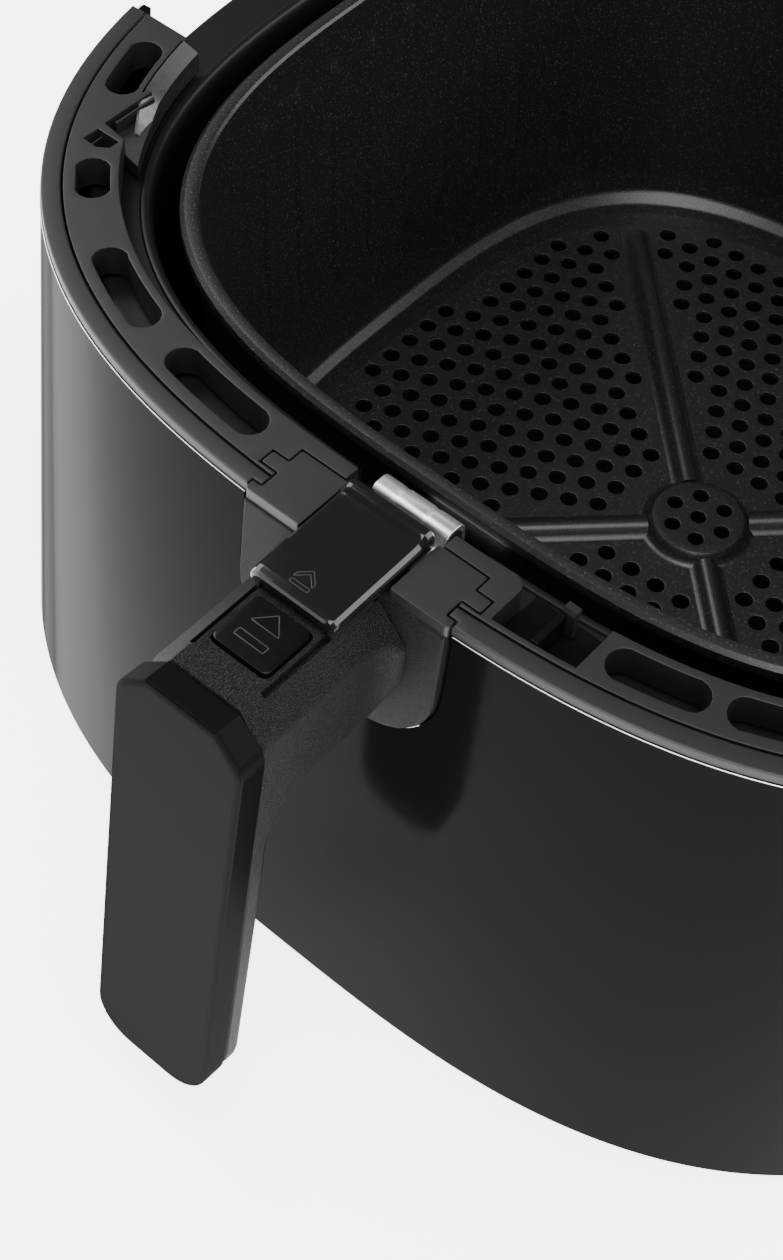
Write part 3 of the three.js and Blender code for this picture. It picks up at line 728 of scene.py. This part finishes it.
# ---- handle mount ----
def mount_front(z):
    """y of the tongue's sloping front face."""
    return np.interp(z, [96, 139.2, 142.4], [-152.4, -149.4, -148.4])


def build_mount():
    """The T-shaped plates on both sides of the handle, and the textured tongue that closes the notch."""
    gap = PLATE_GAP
    shapes = []
    for side in (-1, 1):
        edge = opening(side, gap)
        plan = [(side * 11.3, -134.2 - gap, 0.5)]
        plan += [(x, y, 0.5) for x, y in edge]
        plan += [(side * (25.6 - gap), -146.3 - gap, 0.5), (side * (25.6 - gap), -149.0, 0.8),
                 (side * 11.3, -149.0, 0.5)]
        shapes += plate(rounded(plan, 3), [], 137.4, RING_TOP, 0.25)
    shapes += plate(rectangle(-11.6, -149, 11.6, -141.6, 0.3), [], 136.4, ARM_TOP, 0.1)
    piece("mount_plate", shapes, ring_plastic, "basket", ["handle_mount"], sharp=28)
    half, low, high, rear = 25.25, NOTCH_BOTTOM + 0.5, 139.1, -139.0
    shape = rounded([(-half, low, 19.5), (half, low, 19.5), (half, high, 0.6), (-half, high, 0.6)], 14)
    depth = 12.0

    def stand(v):
        x, z, h = v.T
        front = mount_front(z)
        return np.column_stack([x, rear + (front - rear) * h / depth, z])

    tongue = [moved(s, stand) for s in plate(shape, [], 0, depth, 0.55)]
    hollow = rounded([(-21.5, 105, 16), (21.5, 105, 16), (21.5, 134.6, 2), (-21.5, 134.6, 2)])
    room = plate(hollow, [], -1, 8, 0.1)
    piece("mount_tongue", tongue, textured_plastic, "basket", sharp=28,
          tools=[[moved(s, stand) for s in room]])


# ---- arm, grip and cap ----
def section(half, low, high, r_low, slope, slope_low):
    """Closed outline in (across, up) with sloping shoulders, always with the same number of points."""
    soft, crisp = min(4.0, 0.5 * slope), min(0.5, 0.3 * slope)
    right = [(half - slope_low * 0.55, low, r_low), (half, low + slope_low, r_low),
             (half, high - slope, soft), (half - slope, high, crisp)]
    return rounded([*right, *[(-u, v, radius) for u, v, radius in right[::-1]]], 4)


def grip_point(across, down, depth):
    """A point on the grip, from its top, with depth measured forwards from its back plane."""
    y = GRIP_TOP[0] - down * math.sin(LEAN) - depth * math.cos(LEAN)
    z = GRIP_TOP[1] - down * math.cos(LEAN) + depth * math.sin(LEAN)
    return (across, y, z)


def arm_flare():
    """Sections of the arm's root, which flares where it meets the tongue."""
    rows = []
    for beyond, flare in ((0.3, 2.9), (1.5, 2.6), (2.6, 1.6), (4.2, 0.7), (6.5, 0.2), (10, 0)):
        half, high = ARM_HALF + flare, ARM_TOP - 0.02 * flare
        ring = section(half, ARM_BOTTOM, high, 3, ARM_SLOPE + flare, 6 + 3 * flare)
        rows.append([(x, mount_front(z) - beyond, z) for x, z in ring])
    return rows


def arm_bend():
    """Sections fanned about the inside of the bend, from upright on the arm to square on the grip."""
    bend = 16.0
    pivot_z = ARM_BOTTOM - bend
    pivot_y = GRIP_TOP[0] + (bend - (GRIP_TOP[1] - pivot_z) * math.sin(LEAN)) / math.cos(LEAN)
    total = math.pi / 2 - LEAN
    seam = (GRIP_TOP[0] - GRIP_BACK * math.cos(LEAN), GRIP_TOP[1] + GRIP_BACK * math.sin(LEAN))
    corner_turn = math.atan2(pivot_y - seam[0], seam[1] - pivot_z)
    forwards = (-math.cos(LEAN), math.sin(LEAN))
    gap = (GRIP_TOP[0] - pivot_y) * forwards[0] + (GRIP_TOP[1] - pivot_z) * forwards[1] + GRIP_BACK
    rows = []
    for t in sorted([*np.linspace(0.0, total, 17), corner_turn - 0.004, corner_turn]):
        out = (-math.sin(t), math.cos(t))
        to_top = (ARM_TOP - pivot_z) / max(out[1], 1e-6)
        to_front = gap / max(out[0] * forwards[0] + out[1] * forwards[1], 1e-6)
        far = min(to_top, to_front)
        ease = np.clip((t / total - 0.25) / 0.75, 0, 1)
        ease = ease * ease * (3 - 2 * ease)
        down = max(0.0, (seam[1] - pivot_z - out[1] * far) / math.cos(LEAN))
        ring = section(ARM_HALF + GRIP_SWELL * ease, bend, far, 3 - 0.5 * ease, max(ARM_SLOPE - down, 0.8),
                       6 - 4.6 * ease)
        rows.append([(x, pivot_y + out[0] * r, pivot_z + out[1] * r) for x, r in ring])
    return rows


def grip_back_rows(reached):
    """Sections of the grip's back below the bend, drawn in at its foot to a round end."""
    corner, foot = 9.6, 10
    straight = list(np.linspace(reached, GRIP_LENGTH - foot, 6)[1:])
    curved = [GRIP_LENGTH - foot + corner * math.sin(t) for t in np.radians([15, 30, 45, 60, 75, 90])]
    rows = []
    for down in straight + curved:
        past = max(0.0, down - (GRIP_LENGTH - foot))
        half = ARM_HALF + GRIP_SWELL - corner + math.sqrt(max(corner**2 - past**2, 0))
        rows.append([grip_point(x, down, r) for x, r in section(half, 0, GRIP_BACK, 2.5, 0.8, 1.4)])
    return rows


def build_arm():
    root, bend = arm_flare(), arm_bend()
    reached = (GRIP_TOP[1] - bend[-1][0][2]) / math.cos(LEAN)
    rows = root + bend + grip_back_rows(reached)
    well = plate(rectangle(-7.3, -178.6, 7.3, -164.8, 1.6), [], 124, 150, 0.1)
    half = 0.65
    tracks = [plate(rectangle(x - half, -181.2, x + half, -140, 0.6), [], 136.6, 150, 0.1)
              for x in (-RUNNER_X, RUNNER_X)]
    piece("arm_and_grip", [skin(rows, close_columns=True, cap_rows=True)], textured_plastic, "basket",
          ["handle_arm"], sharp=38, bevel=0.3, tools=[well, *tracks])


def build_cap():
    flat, drop, edge_depth = 8.8, 5.9, 1.3  # the top edge ends in a crisp corner, then a slope
    half = [(GRIP_HALF, -GRIP_LENGTH, 10), (GRIP_HALF, -drop, 5), (flat, 0, 0)]
    shape = rounded([*half, *[(-u, v, radius) for u, v, radius in half[::-1]]], 9)
    edge = [(0.0, 0.35), (0.12, 0.72), (0.4, 1.02), (0.85, 1.2), (1.6, 1.3)]
    rows = [(0.25, 0), (0, 0.25)] + [(d, CAP_DEPTH - edge_depth + h) for d, h in edge]
    shapes = [skin([level(inset(shape, d), z) for d, z in rows], close_columns=True)]
    shapes += [filled([inset(shape, d)], h) for d, h in (rows[0], rows[-1])]

    def stand(v):
        return np.array([grip_point(x, -down, GRIP_BACK + 0.3 + depth) for x, down, depth in v])

    piece("grip_cover", [moved(s, stand) for s in shapes], satin_plastic, "basket",
          ["grip_cap"], sharp=24)


# ---- slide cover and button ----
def build_cover():
    """The slide cover, with rounded edges and a low lip at its rear, and its icon."""
    (_, front, low), (half, rear, _) = cad_box("slide_cover")
    ridge = [(front, 142.6), (front + 0.35, 143.25), (front + 1.0, 143.55), (front + 2.2, 143.7),
             (-155, 143.85), (-145, 144.0), (-140, 144.15), (-138.6, 144.3), (-137.9, 144.75),
             (-137.3, 145.15), (-136.7, 145.35), (-135.8, 145.35), (-135.2, 145.2), (-134.7, 144.8),
             (rear, 144.2)]
    corner = 0.8
    rows = []
    for y, top in ridge:
        near = min(y - front, rear - y)
        h = half - corner + math.sqrt(max(corner**2 - max(corner - near, 0) ** 2, 0))
        right = [(h, low), (h, top - 1.5), (h - 0.25, top - 0.95), (h - 1.0, top - 0.2), (h - 2, top)]
        rows.append([(x, y, z) for x, z in [*right, (0, top), *[(-x, z) for x, z in right[::-1]]]])
    bar = rectangle(-2.7, -161.3, 1.7, -160.4, 0.15, 2)
    chevron = rounded([(-2.9, -158.9, 0.1), (-0.6, -156.6, 0.2), (1.7, -158.9, 0.1), (1.7, -159.9, 0.1),
                       (-0.6, -157.6, 0.2), (-2.9, -159.9, 0.1)], 2)
    icon = drawn(bar, 0.22, 143.5, 143.86) + drawn(chevron, 0.22, 143.5, 143.9)
    piece("cover_icon", icon, icon_paint, "slide_cover")
    piece("cover_panel", [skin(rows, close_columns=True, cap_rows=True)], gloss_plastic, "slide_cover",
          ["slide_cover"], sharp=20)


def drawn(shape, width, low, high):
    """A closed outline drawn as a fine raised line."""
    return plate(inset(ccw(shape), -width / 2), [inset(ccw(shape), width / 2)], low, high, 0.02)


def build_button():
    """The release button: a hollow cap, the stem that tips the lever, and a bar and an arrow on top."""
    (_, front, foot), (half, rear, top) = cad_box("release_button")
    plan, wall, roof = rectangle(-half, front, half, rear, 1.4), 1.0, 2.5
    inside = rectangle(wall - half, front + wall, half - wall, rear - wall, 0.8)
    cap = plate(plan, [], top - roof, top, 0.25)
    skirt = plate(plan, [inside], 133.3, top - roof + 0.1, 0.05)
    stem = plate(rectangle(-2.4, -175.4, 2.4, -169.4, 0.3), [], foot + 0.6, top - roof + 0.1, 0.1)
    piece("button_cap", cap + skirt + stem, button_plastic, "release_button",
          ["release_button"], sharp=28)
    low, high, width = top - 0.4, top + 0.03, 0.24
    triangle = rounded([(-3.9, -170.4, 0.2), (3.1, -170.4, 0.2), (-0.4, -166.4, 0.2)], 3)
    icon = drawn(rectangle(-4.0, -174.9, 3.2, -173.2, 0.2, 3), width, low, high)
    icon += drawn(triangle, width, low, high)
    piece("button_icon", icon, icon_paint, "release_button")


# ---- hanger, recess and small parts ----
def build_hanger():
    """The bent strip over the ring's saddle, with two shallow creases across it."""
    (left, _, _), (right, _, _) = cad_box("hanger_bracket")
    line = rounded([(-141.2, 139, 0), (-133.9, 139, 1.6), (-132, 142.6, 1.4), (-127.8, 142.6, 2.2),
                    (-126.6, 120.6, 2.2), (-117.6, 120.6, 1.6), (-116.4, 100, 0)], 6)
    step = np.gradient(line, axis=0)
    normal = np.stack([-step[:, 1], step[:, 0]], axis=1) / np.linalg.norm(step, axis=1, keepdims=True)
    loop = np.concatenate([line + normal / 2, (line - normal / 2)[::-1]])
    stations = [(left, 0), (left + 0.2, 0), (right - 0.2, 0), (right, 0)]
    for x in (-1.9, 5.6):
        stations += [(x - 0.9, 0), (x, 0.35), (x + 0.9, 0)]
    crest = 139.8
    rows = [[(x, y, z - (drop if z > crest else 0)) for y, z in loop] for x, drop in sorted(stations)]
    piece("hanger_strip", [skin(rows, close_columns=True, cap_rows=True)], steel, "basket",
          ["hanger_bracket"], sharp=40, bevel=0.12)


def build_recess():
    x0, x1, floor = (RECESS[k] for k in ("x0", "x1", "floor"))
    gap, rear = 0.3, -127.4
    plan = np.concatenate([recess_front(gap), [(x1 - gap, rear), (x0 + gap, rear)]])
    tray = plate(plan, [], floor - 1, floor, 0.2)
    rib = plate(rectangle(38.1, -140.4, 39.6, -131.4, 0.3), [], floor - 0.5, RING_TOP - 0.2, 0.2)
    piece("recess_tray", tray + rib, button_plastic, "drawer", ["recess_insert"], sharp=28)


def screw_shape(tip, head, cap_radius):
    """A pan-head screw along y, without its cross recess."""
    profile = [(0.01, tip), (1.2, tip), (1.5, tip + 0.5), (1.5, head), (cap_radius, head),
               (cap_radius, head + 1.0), (cap_radius * 0.85, head + 1.6), (cap_radius * 0.5, head + 1.9),
               (0.01, head + 1.95)]
    return along_y(lathe(profile, (0, 0), 28))


def build_screws():
    jobs = [(f"panel_screw_{word}_{i}", side * x, z, -71, -55.1, 3.4, "drawer")
            for side, word in SIDES for i, (x, z) in enumerate(PANEL_SCREWS, 1)]
    jobs += [(f"handle_screw_{i}", side * HANDLE_SCREW_X, HANDLE_SCREW_Z, -163, -147.4, 3.2, "basket")
             for i, (side, _) in enumerate(SIDES, 1)]
    for name, x, z, tip, head, cap_radius, body in jobs:
        cross = []
        for across, up in ((1.9, 0.4), (0.4, 1.9)):
            bar = plate(rectangle(-across, -up, across, up, 0.2, 2), [], head + 0.9, head + 3.9, 0.05)
            cross.append([along_y(s) for s in bar])
        thing = new_object(name.replace("screw", "fixing"), [screw_shape(tip, head, cap_radius)])
        carve(thing, cross)
        thing.data.transform(Matrix.Translation(Vector((x, 0, z)) * MM))
        dressed(thing, zinc, body, [name], sharp=30)


def build_feet():
    profile = [(0.01, 1.95), (3.6, 1.95), (4.4, 2.3), (5.0, 3.0), (5.4, 4), (6.0, 16.5), (6.2, 18.1),
               (0.01, 18.1)]
    for i, degrees in enumerate(CORNERS, 1):
        t = math.radians(degrees)
        centre = (FOOT_REACH * math.cos(t), FOOT_REACH * math.sin(t))
        piece(f"foot_{i}", [lathe(profile, centre, 32)], rubber, "basket", [f"basket_foot_{i}"])


def finish_cad_nodes():
    """The CAD solids that stay get a small bevel and their material."""
    looks = {"base_frame": (ring_plastic, 0.3), "side_panel": (ring_plastic, 0.3),
             "snap_clip": (clip_plastic, 0.25), "latch_lever": (clip_plastic, 0.3),
             "latch_catch": (steel, 0.2), "latch_pin": (steel, 0.15), "button_spring": (steel, 0),
             "hanger_rivet": (steel, 0.3), "cover_runner": (textured_plastic, 0.15)}
    for name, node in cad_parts.items():
        for start, (made, width) in looks.items():
            if name.startswith(start):
                node.data.materials.clear()
                node.data.materials.append(made)
                if width:
                    edge = node.modifiers.new("edge", "BEVEL")
                    edge.width, edge.segments = width * MM, 2


# ---- camera, floor and light ----
def place_camera():
    place = (0.1593, -0.3470, 0.4563)
    azimuth, elevation, roll = (math.radians(v) for v in (36.536, 52.917, 4.866))
    back = Vector((math.sin(azimuth) * math.cos(elevation), -math.cos(azimuth) * math.cos(elevation),
                   math.sin(elevation)))
    right = Vector((math.cos(azimuth), math.sin(azimuth), 0))
    up = back.cross(right)
    across = right * math.cos(roll) + up * math.sin(roll)
    upwards = up * math.cos(roll) - right * math.sin(roll)
    lens = bpy.data.cameras.new("camera")
    lens.lens, lens.sensor_width = 61.52, 36
    lens.clip_start, lens.clip_end = 0.01, 20
    camera = bpy.data.objects.new("camera", lens)
    bpy.context.scene.collection.objects.link(camera)
    turn = Matrix((across, upwards, back)).transposed().to_4x4()
    camera.matrix_world = Matrix.Translation(place) @ turn
    bpy.context.scene.camera = camera


def soft_light(name, place, target, size, watts):
    """A rectangular light at a place in metres, aimed at a target."""
    light = bpy.data.lights.new(name, "AREA")
    light.shape, light.size, light.size_y, light.energy = "RECTANGLE", size[0], size[1], watts
    lamp = bpy.data.objects.new(name, light)
    bpy.context.scene.collection.objects.link(lamp)
    away = Vector(place) - Vector(target)
    lamp.matrix_world = Matrix.Translation(place) @ away.to_track_quat("Z", "Y").to_matrix().to_4x4()


def build_studio():
    """A pale floor that glows a little, a dim even surround and five soft lights."""
    half = 8.0
    corners = [(-half, -half, 0), (half, -half, 0), (half, half, 0), (-half, half, 0)]
    mesh = bpy.data.meshes.new("floor")
    mesh.from_pydata(corners, [], [(0, 1, 2, 3)])
    floor = bpy.data.objects.new("floor", mesh)
    bpy.context.scene.collection.objects.link(floor)
    white = material("floor white", (0.93, 0.93, 0.93), 0.6, specular=0.1)
    shader = white.node_tree.nodes["Principled BSDF"]
    shader.inputs["Emission Color"].default_value = (1, 1, 1, 1)
    shader.inputs["Emission Strength"].default_value = 3.2
    mesh.materials.append(white)
    world = bpy.data.worlds.new("studio")
    world.use_nodes = True
    world.node_tree.nodes["Background"].inputs["Color"].default_value = (1, 1, 1, 1)
    world.node_tree.nodes["Background"].inputs["Strength"].default_value = 0.2
    bpy.context.scene.world = world
    soft_light("key", (-0.95, -0.1, 1.0), (0, -0.05, 0.1), (0.9, 0.9), 26)
    soft_light("top", (0.25, -0.4, 1.6), (0, -0.1, 0), (1.2, 1.0), 42)
    soft_light("front", (0.70, -0.94, 1.09), (0, 0, 0.05), (0.6, 0.5), 12)
    soft_light("rear", (1.0, 0.88, 0.78), (-0.05, 0, 0.1), (1.3, 0.7), 25)
    soft_light("low", (0.9, -1.22, 0.6), (0, 0, 0.05), (0.6, 0.35), 10)


place_camera()
build_basket()
build_pan()
build_shell()
build_bosses()
build_edge_highlight()
build_ring()
build_lips()
build_mount()
build_arm()
build_cap()
build_cover()
build_button()
build_hanger()
build_recess()
build_screws()
build_feet()
finish_cad_nodes()
build_studio()
